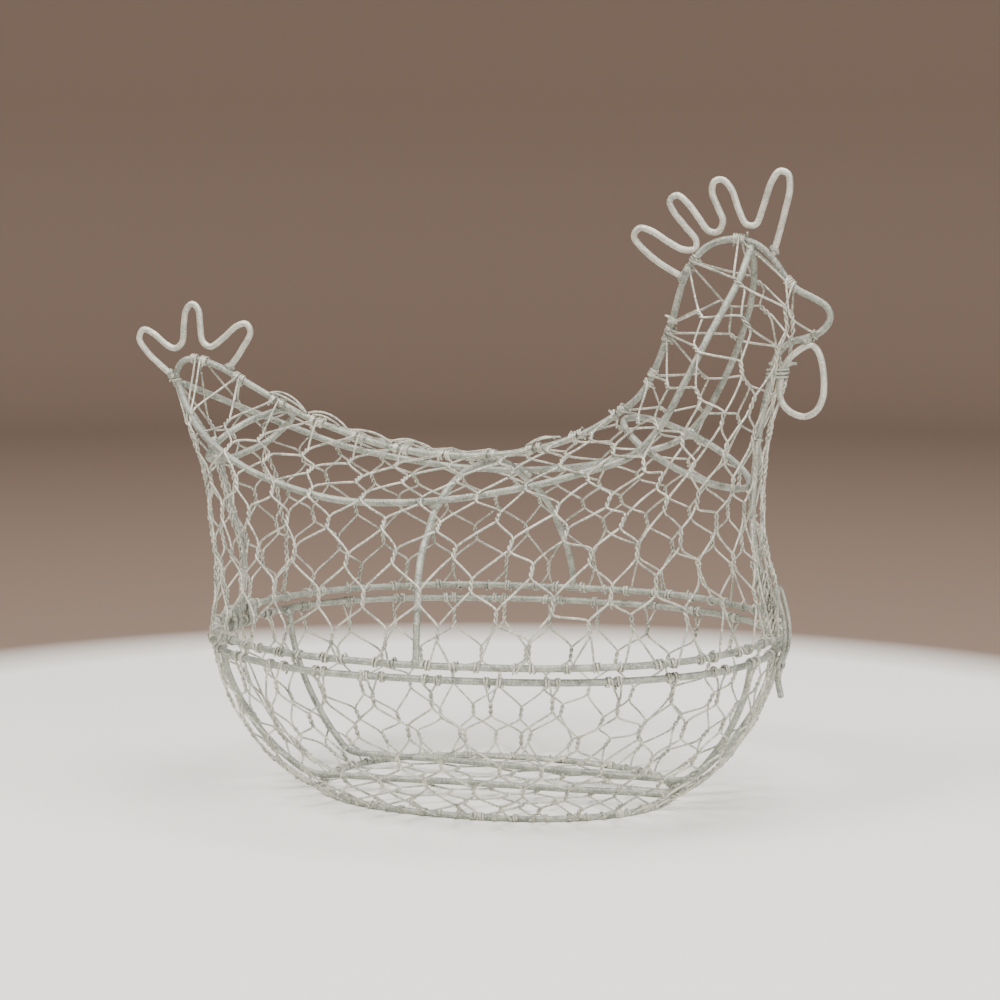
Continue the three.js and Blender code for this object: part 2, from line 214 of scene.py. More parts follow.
def spline(points, closed=False, per=24):
    """Close points on the centripetal Catmull-Rom line through the given points."""
    points = np.array(points, float)
    count = len(points)
    if closed:
        padded = np.vstack([points[-1], points, points[:2]])
        spans = count
    else:
        padded = np.vstack([2 * points[0] - points[1], points, 2 * points[-1] - points[-2]])
        spans = count - 1
    t = np.arange(per)[:, None] / per
    out = []
    for i in range(spans):
        p0, p1, p2, p3 = padded[i : i + 4]
        d0, d1, d2 = (math.sqrt(np.linalg.norm(b - a)) for a, b in ((p0, p1), (p1, p2), (p2, p3)))
        m1 = ((p1 - p0) / d0 - (p2 - p0) / (d0 + d1) + (p2 - p1) / d1) * d1
        m2 = ((p2 - p1) / d1 - (p3 - p1) / (d1 + d2) + (p3 - p2) / d2) * d1
        cube, square = t**3, t**2
        out.append(
            (2 * cube - 3 * square + 1) * p1
            + (cube - 2 * square + t) * m1
            + (3 * square - 2 * cube) * p2
            + (cube - square) * m2
        )
    out.append(padded[spans + 1][None])
    return np.vstack(out)


class Route:
    """A smooth line that is measured by length."""

    def __init__(self, points, closed=False, origin=(0, 0, 0)):
        self.closed = closed
        self.line = spline(points, closed) + np.array(origin, float)
        steps = np.linalg.norm(np.diff(self.line, axis=0), axis=1)
        self.marks = np.concatenate([[0], np.cumsum(steps)])
        self.length = self.marks[-1]

    def at(self, share):
        far = np.asarray(share, float) * self.length
        return np.stack([np.interp(far, self.marks, self.line[:, k]) for k in range(3)], -1)

    def tangent(self, share):
        step = 0.5 / self.length
        if self.closed:
            ahead, behind = (share + step) % 1, (share - step) % 1
        else:
            ahead, behind = min(1, share + step), max(0, share - step)
        return unit(self.at(ahead) - self.at(behind))

    def nearest(self, point):
        """The share of the way along at which the line passes closest to a point."""
        i = np.linalg.norm(self.line - point, axis=1).argmin()
        return self.marks[i] / self.length

    def every(self, step):
        count = max(4, round(self.length / step))
        if self.closed:
            return self.at(np.arange(count) / count)
        return self.at(np.linspace(0, 1, count + 1))


def unit(v):
    return v / np.linalg.norm(v)


def across(v, axis):
    """The part of v square to an axis, as a unit vector."""
    return unit(v - axis * np.dot(v, axis))


def ease(t):
    """Rises smoothly from 0 to 1 as t does."""
    t = min(max(t, 0.0), 1.0)
    return t * t * (3 - 2 * t)


def in_middle(points):
    return [(x, 0, z) for x, z in points]


def mirrored(points):
    return np.array(points) * [1, -1, 1]


def oval(size, angle, z=0.0):
    """A point of a rounded oval at an angle."""
    c, s = math.cos(angle), math.sin(angle)
    bend = 2 / OVAL_POWER
    return np.array([
        size[0] * math.copysign(abs(c) ** bend, c),
        size[1] * math.copysign(abs(s) ** bend, s),
        z,
    ])


def oval_angle(size, x, y):
    """The angle at which a rounded oval of this shape passes in the direction of x and y."""
    half_power = OVAL_POWER / 2
    c = math.copysign(abs(x / size[0]) ** half_power, x)
    s = math.copysign(abs(y / size[1]) ** half_power, y)
    return math.atan2(s, c)


def oval_route(size, z, origin):
    count = 40
    return Route([oval(size, 2 * math.pi * i / count, z) for i in range(count)], True, origin)


def bowl_point(angle, drop, inset=0.0):
    """A point of the bowl's wall, from the rim at drop 0 to the floor at drop 1."""
    narrowing = (1 - drop**BOWL_POWER) ** (1 / BOWL_POWER)
    size = BASE_OVAL + (BOWL_RIM - BASE_OVAL) * narrowing - inset
    return oval(size, angle, BOWL_RIM_Z - (BOWL_RIM_Z - FLOOR_Z) * drop)


def rib_points(side):
    """A lengthwise rib just inside the wall and above the floor; side is 1 or -1."""

    def wall(angle):
        points = []
        for drop in RIB_DROPS:
            p = bowl_point(angle * side, drop, FRAME_R + 1.2 + 2.9 * drop**2)
            p[2] = max(p[2], RIB_FLOOR_Z)
            points.append(p)
        return points

    tail, head = wall(RIB_TAIL_ANGLE), wall(RIB_HEAD_ANGLE)[::-1]
    floor = [tail[-1] + (head[0] - tail[-1]) * share for share in (0.1, 0.35, 0.65, 0.9)]
    for p in floor:
        p[2] = RIB_FLOOR_Z
    return tail + floor + head


def hoop_points(hoop):
    along = unit(np.array([hoop["slope"][0], 0, hoop["slope"][1]], float))
    centre = np.array([hoop["middle"][0], 0, hoop["middle"][1]], float)
    half_length, half_width = hoop["half"]
    points = []
    for i in range(24):
        a = 2 * math.pi * i / 24
        points.append(centre + along * half_length * math.cos(a) + [0, half_width * math.sin(a), 0])
    return points


ROUTES = {
    "lid_rim": oval_route(LID_RIM, 0, LID_ORIGIN),
    "spine": Route(in_middle(SPINE), origin=LID_ORIGIN),
    "rail_left": Route(RAIL, origin=LID_ORIGIN),
    "rail_right": Route(mirrored(RAIL), origin=LID_ORIGIN),
    "belly": Route(BELLY_HOOP + list(mirrored(BELLY_HOOP[:-1][::-1])), origin=LID_ORIGIN),
    "neck": Route(hoop_points(NECK_HOOP), True, LID_ORIGIN),
    "tail": Route(hoop_points(TAIL_HOOP), True, LID_ORIGIN),
    "comb": Route(in_middle(COMB), origin=LID_ORIGIN),
    "feathers": Route(in_middle(FEATHERS), origin=LID_ORIGIN),
    "wattle": Route(in_middle(WATTLE), True, LID_ORIGIN),
    "bowl_rim": oval_route(BOWL_RIM, BOWL_RIM_Z, BOWL_ORIGIN),
    "base": oval_route(BASE_RING, BASE_RING_Z, BOWL_ORIGIN),
    "rib_left": Route(rib_points(1), origin=BOWL_ORIGIN),
    "rib_right": Route(rib_points(-1), origin=BOWL_ORIGIN),
}


# ---- Round wires as meshes ----


def carried(tangents, closed):
    """A direction square to each tangent, carried along without twisting."""
    normal = across(np.array([0.31, 0.83, 0.47]), tangents[0])
    normals = []
    for t in tangents:
        normal = across(normal, t)
        normals.append(normal)
    normals = np.array(normals)
    if closed:
        last = across(normals[-1], tangents[0])
        turn = math.atan2(np.dot(np.cross(normals[0], last), tangents[0]), np.dot(normals[0], last))
        a = -turn * np.arange(len(normals))[:, None] / len(normals)
        normals = normals * np.cos(a) + np.cross(tangents, normals) * np.sin(a)
    return normals


class Wires:
    """Round wires gathered into one mesh."""

    def __init__(self):
        self.points, self.quads, self.fans = [], [], []
        self.count = 0

    def add(self, path, radius, sides, closed=False):
        path = np.array(path, float)
        radius = np.broadcast_to(np.array(radius, float), len(path)).copy()
        if not closed:
            path, radius = self.rounded_ends(path, radius)
        ahead, behind = np.roll(path, -1, 0), np.roll(path, 1, 0)
        if not closed:
            ahead[-1], behind[0] = path[-1], path[0]
        tangents = ahead - behind
        tangents /= np.maximum(np.linalg.norm(tangents, axis=1, keepdims=True), 1e-9)
        normals = carried(tangents, closed)
        seconds = np.cross(tangents, normals)
        a = 2 * math.pi * np.arange(sides) / sides
        rings = (
            path[:, None]
            + radius[:, None, None] * np.cos(a)[None, :, None] * normals[:, None]
            + radius[:, None, None] * np.sin(a)[None, :, None] * seconds[:, None]
        )
        count = len(path)
        base = self.count + sides * np.arange(count if closed else count - 1)[:, None]
        following = self.count + sides * ((np.arange(len(base)) + 1) % count)[:, None]
        k, k1 = np.arange(sides)[None], ((np.arange(sides) + 1) % sides)[None]
        quads = np.stack([base + k, base + k1, following + k1, following + k], -1)
        self.quads.append(quads.reshape(-1, 4))
        self.points.append(rings.reshape(-1, 3))
        self.count += sides * count
        if not closed:
            first, last = self.count - sides * count, self.count - sides
            self.fans.append(list(range(first + sides - 1, first - 1, -1)))
            self.fans.append(list(range(last, last + sides)))

    @staticmethod
    def rounded_ends(path, radius):
        """Two smaller rings beyond each end, so that a cut wire doesn't end in a sharp disc."""
        for _ in range(2):
            out = unit(path[0] - path[1])
            rings = [path[0] + out * radius[0] * far for far, _ in END_RINGS]
            path = np.vstack(rings + [path])[::-1]
            radius = np.concatenate([[radius[0] * thick for _, thick in END_RINGS], radius])[::-1]
        return path, radius

    def piece(self, name, body, slot, material, *nodes):
        """Makes the gathered wires one object that rides on a body and stands for CAD nodes."""
        mesh = bpy.data.meshes.new(name)
        faces = np.vstack(self.quads).tolist() + self.fans
        mesh.from_pydata((np.vstack(self.points) * MM).tolist(), [], faces)
        mesh.shade_smooth()
        mesh.materials.append(material)
        piece = bpy.data.objects.new(name, mesh)
        bpy.context.scene.collection.objects.link(piece)
        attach(piece, body)
        if nodes:
            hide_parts(*nodes)


def waves(share, amount, random):
    """A slow, small wander for each of three directions, as a hand-bent wire has."""
    out = np.zeros((len(share), 3))
    for cycles in (3, 5, 8, 13):
        phase = random.uniform(0, 2 * math.pi, 3)
        out += np.cos(2 * math.pi * cycles * share[:, None] + phase) * amount * 2 / cycles
    return out


def frame_wire(wires, route, radius, seed, wander=0.3, reach=2.0, step=2.2):
    """A frame wire along its route; an open one reaches on into the wires it is welded to."""
    random = np.random.default_rng(seed)
    path = route.every(step)
    share = np.linspace(0, 1, len(path), endpoint=not route.closed)
    fade = np.ones(len(path)) if route.closed else np.clip(np.minimum(share, 1 - share) * 12, 0, 1)
    path = path + waves(share, wander, random) * fade[:, None]
    if not route.closed:
        path[0] += unit(path[0] - path[1]) * reach
        path[-1] += unit(path[-1] - path[-2]) * reach
    gauge = radius * (1 + 0.018 * waves(share, 1, random)[:, 0])
    wires.add(path, gauge, FRAME_SIDES, route.closed)


def weld(wires, point, along, radius, half, random):
    """A lump of weld, long in one direction."""
    steps = np.linspace(-0.97, 0.97, 11)
    path = point + along * half * steps[:, None] + random.normal(0, 0.12, (11, 3))
    lump = radius * np.sqrt(1 - steps**2) * random.uniform(0.92, 1.08, 11)
    wires.add(path, lump, WELD_SIDES)


def weld_between(wires, first, second, random, side=0):
    """A weld where two routes come closest, on one side of the middle plane if side isn't 0."""
    line = first.line if side == 0 else first.line[first.line[:, 1] * side > 1]
    gaps = np.linalg.norm(line[:, None] - second.line[None], axis=2)
    i, j = np.unravel_index(gaps.argmin(), gaps.shape)
    spot = (line[i] + second.line[j]) / 2
    tangent = first.tangent(first.nearest(line[i]))
    weld(wires, spot, tangent, 1.2 + gaps[i, j] * 0.25, 3.2, random)


# ---- Materials ----


def node(tree, kind, **values):
    made = tree.nodes.new(kind)
    for name, value in values.items():
        if name in made.inputs:
            made.inputs[name].default_value = value
        else:
            setattr(made, name, value)
    return made


def ramp(tree, source, stops):
    made = tree.nodes.new("ShaderNodeValToRGB")
    elements = made.color_ramp.elements
    while len(elements) < len(stops):
        elements.new(0.5)
    for element, (place, colour) in zip(elements, stops):
        element.position = place
        element.color = (*colour, 1)
    tree.links.new(source, made.inputs["Fac"])
    return made.outputs["Color"]


def galvanised(name, dark, middle_tone, pale, bloom, patch=140, speck=900):
    """Weathered zinc on steel wire: cloudy patches, a whitish bloom of specks and dull pits."""
    material = bpy.data.materials.new(name)
    material.use_nodes = True
    tree = material.node_tree
    shader = tree.nodes["Principled BSDF"]
    shader.inputs["Metallic"].default_value = 0.45
    place = node(tree, "ShaderNodeTexCoord").outputs["Object"]

    def noise(scale, detail, roughness=0.6):
        made = node(tree, "ShaderNodeTexNoise", Scale=scale, Detail=detail, Roughness=roughness)
        tree.links.new(place, made.inputs["Vector"])
        return made.outputs["Fac"]

    clouds = ramp(tree, noise(patch, 4), [(0.34, dark), (0.52, middle_tone), (0.68, pale)])
    specks = ramp(tree, noise(speck, 3, 0.7), [(0.5, (0, 0, 0)), (0.68, (1, 1, 1))])
    mixed = node(tree, "ShaderNodeMix", data_type="RGBA")
    tree.links.new(specks, mixed.inputs["Factor"])
    tree.links.new(clouds, mixed.inputs[6])
    mixed.inputs[7].default_value = (*bloom, 1)
    tree.links.new(mixed.outputs[2], shader.inputs["Base Color"])

    dullness = node(tree, "ShaderNodeMapRange")
    dullness.inputs["To Min"].default_value = 0.4
    dullness.inputs["To Max"].default_value = 0.78
    tree.links.new(noise(patch * 2.3, 5), dullness.inputs["Value"])
    tree.links.new(dullness.outputs["Result"], shader.inputs["Roughness"])

    bump = node(tree, "ShaderNodeBump", Strength=0.55, Distance=0.00018)
    tree.links.new(noise(speck * 1.2, 6, 0.65), bump.inputs["Height"])
    tree.links.new(bump.outputs["Normal"], shader.inputs["Normal"])
    return material


FRAME_METAL = galvanised(
    "galvanised_frame", (0.19, 0.212, 0.182), (0.315, 0.337, 0.29), (0.415, 0.432, 0.375),
    (0.56, 0.568, 0.5),
)
TRIM_METAL = galvanised(
    "galvanised_trim", (0.38, 0.392, 0.34), (0.56, 0.565, 0.495), (0.69, 0.685, 0.6), (0.82, 0.8, 0.7)
)
NET_METAL = galvanised(
    "galvanised_netting", (0.25, 0.262, 0.222), (0.44, 0.448, 0.385), (0.63, 0.62, 0.535),
    (0.82, 0.795, 0.68), patch=90, speck=700,
)
TIE_METAL = galvanised(
    "galvanised_ties", (0.19, 0.21, 0.18), (0.33, 0.35, 0.305), (0.44, 0.455, 0.395), (0.6, 0.605, 0.53)
)


# ---- Frame ----


def frame_piece(name, node_name, route, radius, body, seed, slot="frame_wire", material=FRAME_METAL,
                **how):
    wires = Wires()
    frame_wire(wires, ROUTES[route], radius, seed, **how)
    wires.piece(name, body, slot, material, node_name)


def make_frame():
    frame_piece("bowl_rim_wire", "bowl_rim_ring", "bowl_rim", FRAME_R, "bowl", 11)
    frame_piece("bowl_rib_left_wire", "bowl_rib_left", "rib_left", FRAME_R, "bowl", 13, wander=0.15)
    frame_piece("bowl_rib_right_wire", "bowl_rib_right", "rib_right", FRAME_R, "bowl", 14, wander=0.15)
    frame_piece("lid_rim_wire", "lid_rim_ring", "lid_rim", FRAME_R, "lid", 15)
    frame_piece("spine_round_wire", "spine_wire", "spine", FRAME_R, "lid", 16)
    frame_piece("side_rail_left_wire", "side_rail_left", "rail_left", FRAME_R, "lid", 17, reach=2.6)
    frame_piece("side_rail_right_wire", "side_rail_right", "rail_right", FRAME_R, "lid", 18, reach=2.6)
    frame_piece("belly_hoop_wire", "belly_hoop", "belly", FRAME_R, "lid", 19)
    frame_piece("neck_hoop_wire", "neck_hoop", "neck", FRAME_R, "lid", 20)
    frame_piece("tail_hoop_wire", "tail_hoop", "tail", FRAME_R, "lid", 21)
    trim = {"slot": "trim_wire", "material": TRIM_METAL, "wander": 0.12, "step": 1.3}
    frame_piece("comb_round_wire", "comb_wire", "comb", TRIM_R, "lid", 22, **trim)
    frame_piece("tail_feather_round_wire", "tail_feather_wire", "feathers", TRIM_R, "lid", 23, **trim)
    frame_piece("wattle_round_wire", "wattle_loop", "wattle", TRIM_R, "lid", 24, **trim)


def make_base_ring():
    """The ring that the basket stands on, worn flat underneath."""
    wires = Wires()
    frame_wire(wires, ROUTES["base"], FRAME_R, 12, wander=0.1)
    for block in wires.points:
        block[:, 2] = np.maximum(block[:, 2], 0)
    wires.piece("base_ring_wire", "bowl", "frame_wire", FRAME_METAL, "base_ring")


def tangent_beside(route, spot):
    """The direction of a route where it passes closest to a place."""
    return ROUTES[route].tangent(ROUTES[route].nearest(spot))


def make_welds():
    """A lump of weld at each end of a wire and at each crossing."""
    random = np.random.default_rng(31)
    lid, bowl = Wires(), Wires()
    for tip in (0, 1):
        for route, far in (("spine", 1.4), ("rail_left", 0.8), ("rail_right", 0.8), ("belly", 1.4)):
            spot, tangent = ROUTES[route].at(tip), ROUTES[route].tangent(tip)
            out = tangent if tip else -tangent
            at_rim = abs(spot[2] - LID_ORIGIN[2]) < 5
            along = tangent_beside("lid_rim", spot) if at_rim else tangent
            weld(lid, spot + out * far, along, 2.0, 3.0, random)
        for route in ("comb", "feathers"):
            spot = ROUTES[route].at(tip)
            weld(lid, spot, tangent_beside("spine", spot), 1.9, 2.8, random)
        for route in ("rib_left", "rib_right"):
            spot = ROUTES[route].at(tip)
            weld(bowl, spot + [0, 0, 1.2], tangent_beside("bowl_rim", spot), 2.1, 3.2, random)
    weld_between(lid, ROUTES["spine"], ROUTES["belly"], random)
    weld_between(lid, ROUTES["wattle"], ROUTES["spine"], random)
    for side, rail in ((1, "rail_left"), (-1, "rail_right")):
        weld_between(lid, ROUTES[rail], ROUTES["belly"], random)
        weld_between(lid, ROUTES["neck"], ROUTES[rail], random, side)
        weld_between(lid, ROUTES["tail"], ROUTES[rail], random, side)
    lid.piece("lid_welds", "lid", "frame_wire", FRAME_METAL)
    bowl.piece("bowl_welds", "bowl", "frame_wire", FRAME_METAL)


# ---- Netting ----


class Patch:
    """The hen's left side as a table of points: along from tail to head, up from rim to spine."""

    def __init__(self):
        rear = Route([(-143, 0, 0)] + in_middle(SPINE[1 : TAIL_TIP + 1]))
        breast = Route(
            [(143, 0, 0)] + in_middle(SPINE[BREAST_TOP:-1][::-1]) + in_middle(BEHIND_BEAK)
        )
        back = Route(in_middle(SPINE[TAIL_TIP : CROWN + 2]))
        rail = Route([(-177, 0, 117)] + RAIL[1:-1] + [(131, 0, 194)])
        rim = Route([oval(LID_RIM, math.pi * (1 - i / 24)) for i in range(25)])
        count = 97
        side_v = np.linspace(0, 1, 49)
        back_w = np.linspace(0, 1, 25)[1:]
        rows = []
        for u in np.linspace(0, 1, count):
            low, high = rim.at(u), rail.at(u)
            arch = np.sin(math.pi * side_v)
            bulge = FLANK_BULGE * arch[:, None] * math.sin(math.pi * u)
            straight = low + (high - low) * side_v[:, None]
            side = (
                straight
                + (1 - u) ** 2 * (rear.at(side_v) - self.chord(rear, side_v))
                + u**2 * (breast.at(side_v) - self.chord(breast, side_v))
                + bulge * [0, 1, 0.4]
            )
            side[:, 0] -= TAIL_BULGE * arch * max(0, 1 - 4 * u)
            at_breast = ease((u - BREAST_U) / (1 - BREAST_U))
            side[:, 1] *= 1 - BREAST_SQUEEZE * at_breast * arch**0.6
            top = high + (back.at(u) - high) * back_w[:, None]
            top[:, 2] += BACK_BULGE * np.sin(math.pi * back_w) * math.sin(math.pi * u)
            line = np.vstack([side, top])
            marks = np.concatenate([[0], np.cumsum(np.linalg.norm(np.diff(line, axis=0), axis=1))])
            far = np.linspace(0, marks[-1], count)
            rows.append(np.stack([np.interp(far, marks, line[:, k]) for k in range(3)], -1))
        self.table = self.smoothed(np.array(rows)) + LID_ORIGIN
        self.size = count - 1

    @staticmethod
    def chord(route, share):
        return route.at(0) + (route.at(1) - route.at(0)) * share[:, None]

    @staticmethod
    def smoothed(table, passes=3):
        """Takes the crease off at the rail, and leaves the edges where they are."""
        for _ in range(passes):
            inner = (table[:, :-2] + 2 * table[:, 1:-1] + table[:, 2:]) / 4
            table = np.concatenate([table[:, :1], inner, table[:, -1:]], axis=1)
        return table

    def at(self, u, up):
        """A point of the surface, with u and up from 0 to 1."""
        a, b = np.clip([u, up], 0, 0.9999) * self.size
        i, j = int(a), int(b)
        s, t = a - i, b - j
        corners = self.table[i : i + 2, j : j + 2]
        low = corners[0, 0] * (1 - s) + corners[1, 0] * s
        high = corners[0, 1] * (1 - s) + corners[1, 1] * s
        return low * (1 - t) + high * t

    def height(self, u):
        """The length of the surface from the rim up to the spine."""
        i = round(np.clip(u, 0, 1) * self.size)
        return np.linalg.norm(np.diff(self.table[i], axis=0), axis=1).sum()


class Spot:
    """The place of one twist: its middle and its directions up, sideways and out."""

    def __init__(self, place, x, y, step, standoff, half):
        self.up = unit(place(x, y + step) - place(x, y - step))
        sideways = place(x + step, y) - place(x - step, y)
        self.out = unit(np.cross(self.up, sideways))
        self.side = np.cross(self.out, self.up)
        self.side *= math.copysign(1, np.dot(self.side, sideways))
        self.centre = place(x, y) + self.out * standoff
        self.half = half

    def wire(self, going):
        """One of the two wires: going is 1 if it crosses from left to right, or -1."""
        t = np.linspace(-1, 1, 13)[:, None]
        a = (math.pi if going > 0 else 0) + math.pi * TWIST_TURNS * (t + 1)
        round_it = np.cos(a) * self.side + np.sin(a) * self.out
        return self.centre + self.up * self.half * t + TWIST_R * round_it


def turns_round(centre, tangent, first, second, turns, drift, lift=0.0, radius=FRAME_R, wire=NET_R):
    """Turns of thin wire round a frame wire, from the side first, by way of the side second."""
    first = across(first, tangent)
    second = np.cross(tangent, first) * math.copysign(1, np.dot(np.cross(tangent, first), second))
    a = np.linspace(0, 2 * math.pi * turns, max(4, round(12 * turns)))[:, None]
    grown = radius + wire + HOOK_GAP + lift * np.clip(a - a[-1] + 1.2, 0, 1.2) ** 2
    round_it = np.cos(a) * first + np.sin(a) * second
    return centre + grown * round_it + tangent * drift * a / (2 * math.pi)


def strand(parts, random, slack=0.25):
    """One wire through its parts in turn, with straight runs between them, softly bent."""
    path = [parts[0]]
    for part in parts[1:]:
        run = np.linspace(path[-1][-1], part[0], 5)[1:-1]
        path.append(run + random.normal(0, slack, (1, 3)) * np.array([[0.7], [1], [0.7]]))
        path.append(part)
    path = np.vstack(path)
    soft = path.copy()
    soft[1:-1] = (path[:-2] + 2 * path[1:-1] + path[2:]) / 4
    return soft


UP = np.array([0.0, 0.0, 1.0])
LEFT = np.array([0.0, 1.0, 0.0])
FORWARD = np.array([1.0, 0.0, 0.0])
patch = Patch()


def lid_pitch(u):
    """The lowest row's height and the rise from row to row, as shares of the way up to the spine."""
    lowest = 0.06 + 0.145 * ease((u - 0.45) / 0.27)
    rise = 0.113 + 0.009 * ease((u - 0.35) / 0.15) - 0.03 * ease((u - 0.55) / 0.3)
    return lowest, rise


def lid_shares(x, row):
    """Where column x and a row of the netting lie on the lid: along from the tail, and up."""
    middle_share = math.sin(math.pi * x / LID_COLUMNS)
    lean = 0.2 * math.sin(math.pi * min(max(row / LEAN_ROWS, 0), 1)) ** 2 * middle_share
    u = (x - lean) / LID_COLUMNS
    lowest, rise = lid_pitch(u)
    return u, lowest + rise * row


def lid_place(x, row):
    return patch.at(*lid_shares(x, row))


def lid_limits(x):
    """How many rows a column has, and how far up its twists may lie."""
    return (HEAD_ROWS, HEAD_TOP) if x >= HEAD_COLUMN else (BODY_ROWS, BODY_TOP)


def post_turn(row, x):
    """A turn round the rear post or the breast wire, at the netting's edge."""
    post = ROUTES["spine"]
    share = post.nearest(lid_place(x, row))
    tangent = post.tangent(share)
    tangent = tangent * math.copysign(1, tangent[2])
    away = np.array([1.0 if x > 0 else -1.0, 0, 0])
    return turns_round(post.at(share), tangent, LEFT, away, turns=1.0, drift=1.4)


def lid_rim_hook(row, x, going, random):
    """Turns round the lid's rim below the lowest twist that a wire passes."""
    u, up = lid_shares(x, row)
    sideways = random.uniform(0.2, 0.34) * min(1, up / lid_pitch(u)[1])
    rim = ROUTES["lid_rim"]
    share = rim.nearest(patch.at(lid_shares(x - sideways * going, row)[0], 0))
    tangent = rim.tangent(share)
    outward = across(rim.at(share) - LID_ORIGIN, tangent)
    drift = random.uniform(1.3, 2) * math.copysign(1, tangent[0]) * -going
    turns = random.uniform(1.3, 2.2)
    lift = random.uniform(0.2, 1.3)
    return turns_round(rim.at(share), tangent, outward, -UP, turns, drift, lift)[::-1]


def spine_share(x):
    """How far along the spine a column of the lid's netting reaches it."""
    return ROUTES["spine"].nearest(patch.at(np.interp(x, COILS_FROM, COILS_TO) / LID_COLUMNS, 1))


def spine_hook(x, going, random):
    """Turns round the spine beside those of the neighbouring wire, which comes the other way."""
    spine = ROUTES["spine"]
    share = spine_share(x + HOOK_COLUMN * going)
    tangent = spine.tangent(share)
    up = np.array([-tangent[2], 0, tangent[0]])
    turns = random.uniform(1.6, 2.7)
    lift = random.uniform(0.2, 1.4)
    return turns_round(spine.at(share), tangent, LEFT, up, turns, -HOOK_PITCH * going, lift)


def lid_net(side, seed):
    """The wires over one side of the lid, made on the left and mirrored for side -1."""
    random = np.random.default_rng(seed)
    spots = {}
    for row in range(-1, HEAD_ROWS):
        for k in range(LID_COLUMNS):
            x = k + 0.5 if row % 2 == 0 else k
            jog = np.clip(random.normal(0, 1, 3), -2, 2)
            u, up = lid_shares(x, row)
            rows, top = lid_limits(x)
            if x == 0 or row >= rows or not LOWEST_TWIST <= up <= top:
                continue
            half = min(TWIST_HALF + 0.5 * jog[2], 0.32 * patch.height(u) * lid_pitch(u)[1])
            x_made, row_made = x + 0.05 * jog[0], row + 0.07 * jog[1]
            spots[row, x] = Spot(lid_place, x_made, row_made, 0.2, NET_STANDOFF, half)
    wires = Wires()
    for (row, x), going in [(spot, going) for spot in spots for going in (1, -1)]:
        came_from = (row - 1, x - 0.5 * going)
        if came_from in spots or (came_from[1] in (0, LID_COLUMNS) and (row - 2, x) in spots):
            continue
        parts = [lid_rim_hook(row, x, going, random)]
        while True:
            if (row, x) in spots:
                parts.append(spots[row, x].wire(going))
                last_x = x
            elif x in (0, LID_COLUMNS) and row < lid_limits(x)[0]:
                parts.append(post_turn(row, x))
                last_x = x
                going = -going
            else:
                break
            row, x = row + 1, x + 0.5 * going
        parts.append(spine_hook(last_x, going, random))
        wires.add(strand(parts, random) * [1, side, 1], NET_R, NET_SIDES)
    if side < 0:
        add_slack_loops(wires, random)
        add_beak_wire(wires, spots[HEAD_ROWS - 2, LID_COLUMNS - 0.5].centre, random)
    for low, high, off_side, forward in EDGE_PAIRS:
        line = ROUTES["spine"].at(np.linspace(low, high, 80)) + [forward, off_side, 0]
        twisted_pair(wires, line * [1, side, 1], random)
    heights = np.linspace(CORNER_LOW, CORNER_HIGH, 24)
    corner = [patch.at(CORNER_U, up) + [-1, NET_STANDOFF, 0] for up in heights]
    twisted_pair(wires, spline(corner, per=5) * [1, side, 1], random)
    return wires


def add_slack_loops(wires, random):
    """Slack lengths of wire that stand above the spine between its coils."""
    spine = ROUTES["spine"]
    t = np.linspace(0, 1, 14)
    for k in SLACK_COLUMNS:
        for lean in (1, -1):
            first = k - random.uniform(0, 0.25)
            last = first + random.uniform(0.6, 0.95)
            share = np.linspace(spine_share(first), spine_share(last), len(t))
            line = spine.at(share)
            bow = np.sin(math.pi * t) ** 0.8
            line[:, 2] += FRAME_R + NET_R + random.uniform(1.6, 3.8) * bow
            line[:, 1] += lean * (0.6 + random.uniform(0.5, 2.2) * bow)
            wires.add(line, NET_R, NET_SIDES)


def add_beak_wire(wires, twist, random):
    """A wire from the front of the head past the netting's last twist to the beak's lower corner."""
    spine = ROUTES["spine"]
    coils = []
    for (x, z), turns in ((HEAD_FRONT, 2.6), (BEAK_CORNER, 1.8)):
        share = spine.nearest(np.array([x, 0, z]) + LID_ORIGIN)
        coils.append(turns_round(spine.at(share), spine.tangent(share), LEFT, UP, turns, HOOK_PITCH))
    beside_twist = twist[None] + [1.5, 1.2, 0]
    path = strand([coils[0][::-1], beside_twist, coils[1]], random)
    wires.add(mirrored(path), NET_R, NET_SIDES)


def twisted_pair(wires, line, random):
    """Two net wires twisted together along a steep line, as at the edge of the netting."""
    marks = np.concatenate([[0], np.cumsum(np.linalg.norm(np.diff(line, axis=0), axis=1))])
    sway = waves(marks / marks[-1], 0.4, random) * [1, 1, 0]
    for phase in (0, math.pi):
        turn = 2 * math.pi * marks / PAIR_PITCH + phase
        round_it = np.stack([np.cos(turn), np.sin(turn), 0 * turn], -1)
        wires.add(line + sway + TWIST_R * round_it, NET_R, NET_SIDES)


def make_lid_netting():
    for side, name, seed in ((1, "left", 41), (-1, "right", 57)):
        wires = lid_net(side, seed)
        node_name = "lid_netting_" + name
        wires.piece(node_name + "_wires", "lid", "netting_wire", NET_METAL, node_name)


WALL_DROPS = np.sin(np.linspace(0, math.pi / 2, 30))
WALL_LINE = np.array([bowl_point(math.pi / 4, drop) for drop in WALL_DROPS])
WALL_MARKS = np.concatenate([[0], np.cumsum(np.linalg.norm(np.diff(WALL_LINE, axis=0), axis=1))])


def wall_place(x, row):
    """A point of the bowl's wall, some columns round from the head and some rows down."""
    rim_point = ROUTES["bowl_rim"].at(x / BOWL_COLUMNS % 1) - BOWL_ORIGIN
    drop = np.interp(FIRST_FALL + row * WALL_ROW, WALL_MARKS, WALL_DROPS)
    return bowl_point(oval_angle(BOWL_RIM, *rim_point[:2]), drop) + BOWL_ORIGIN


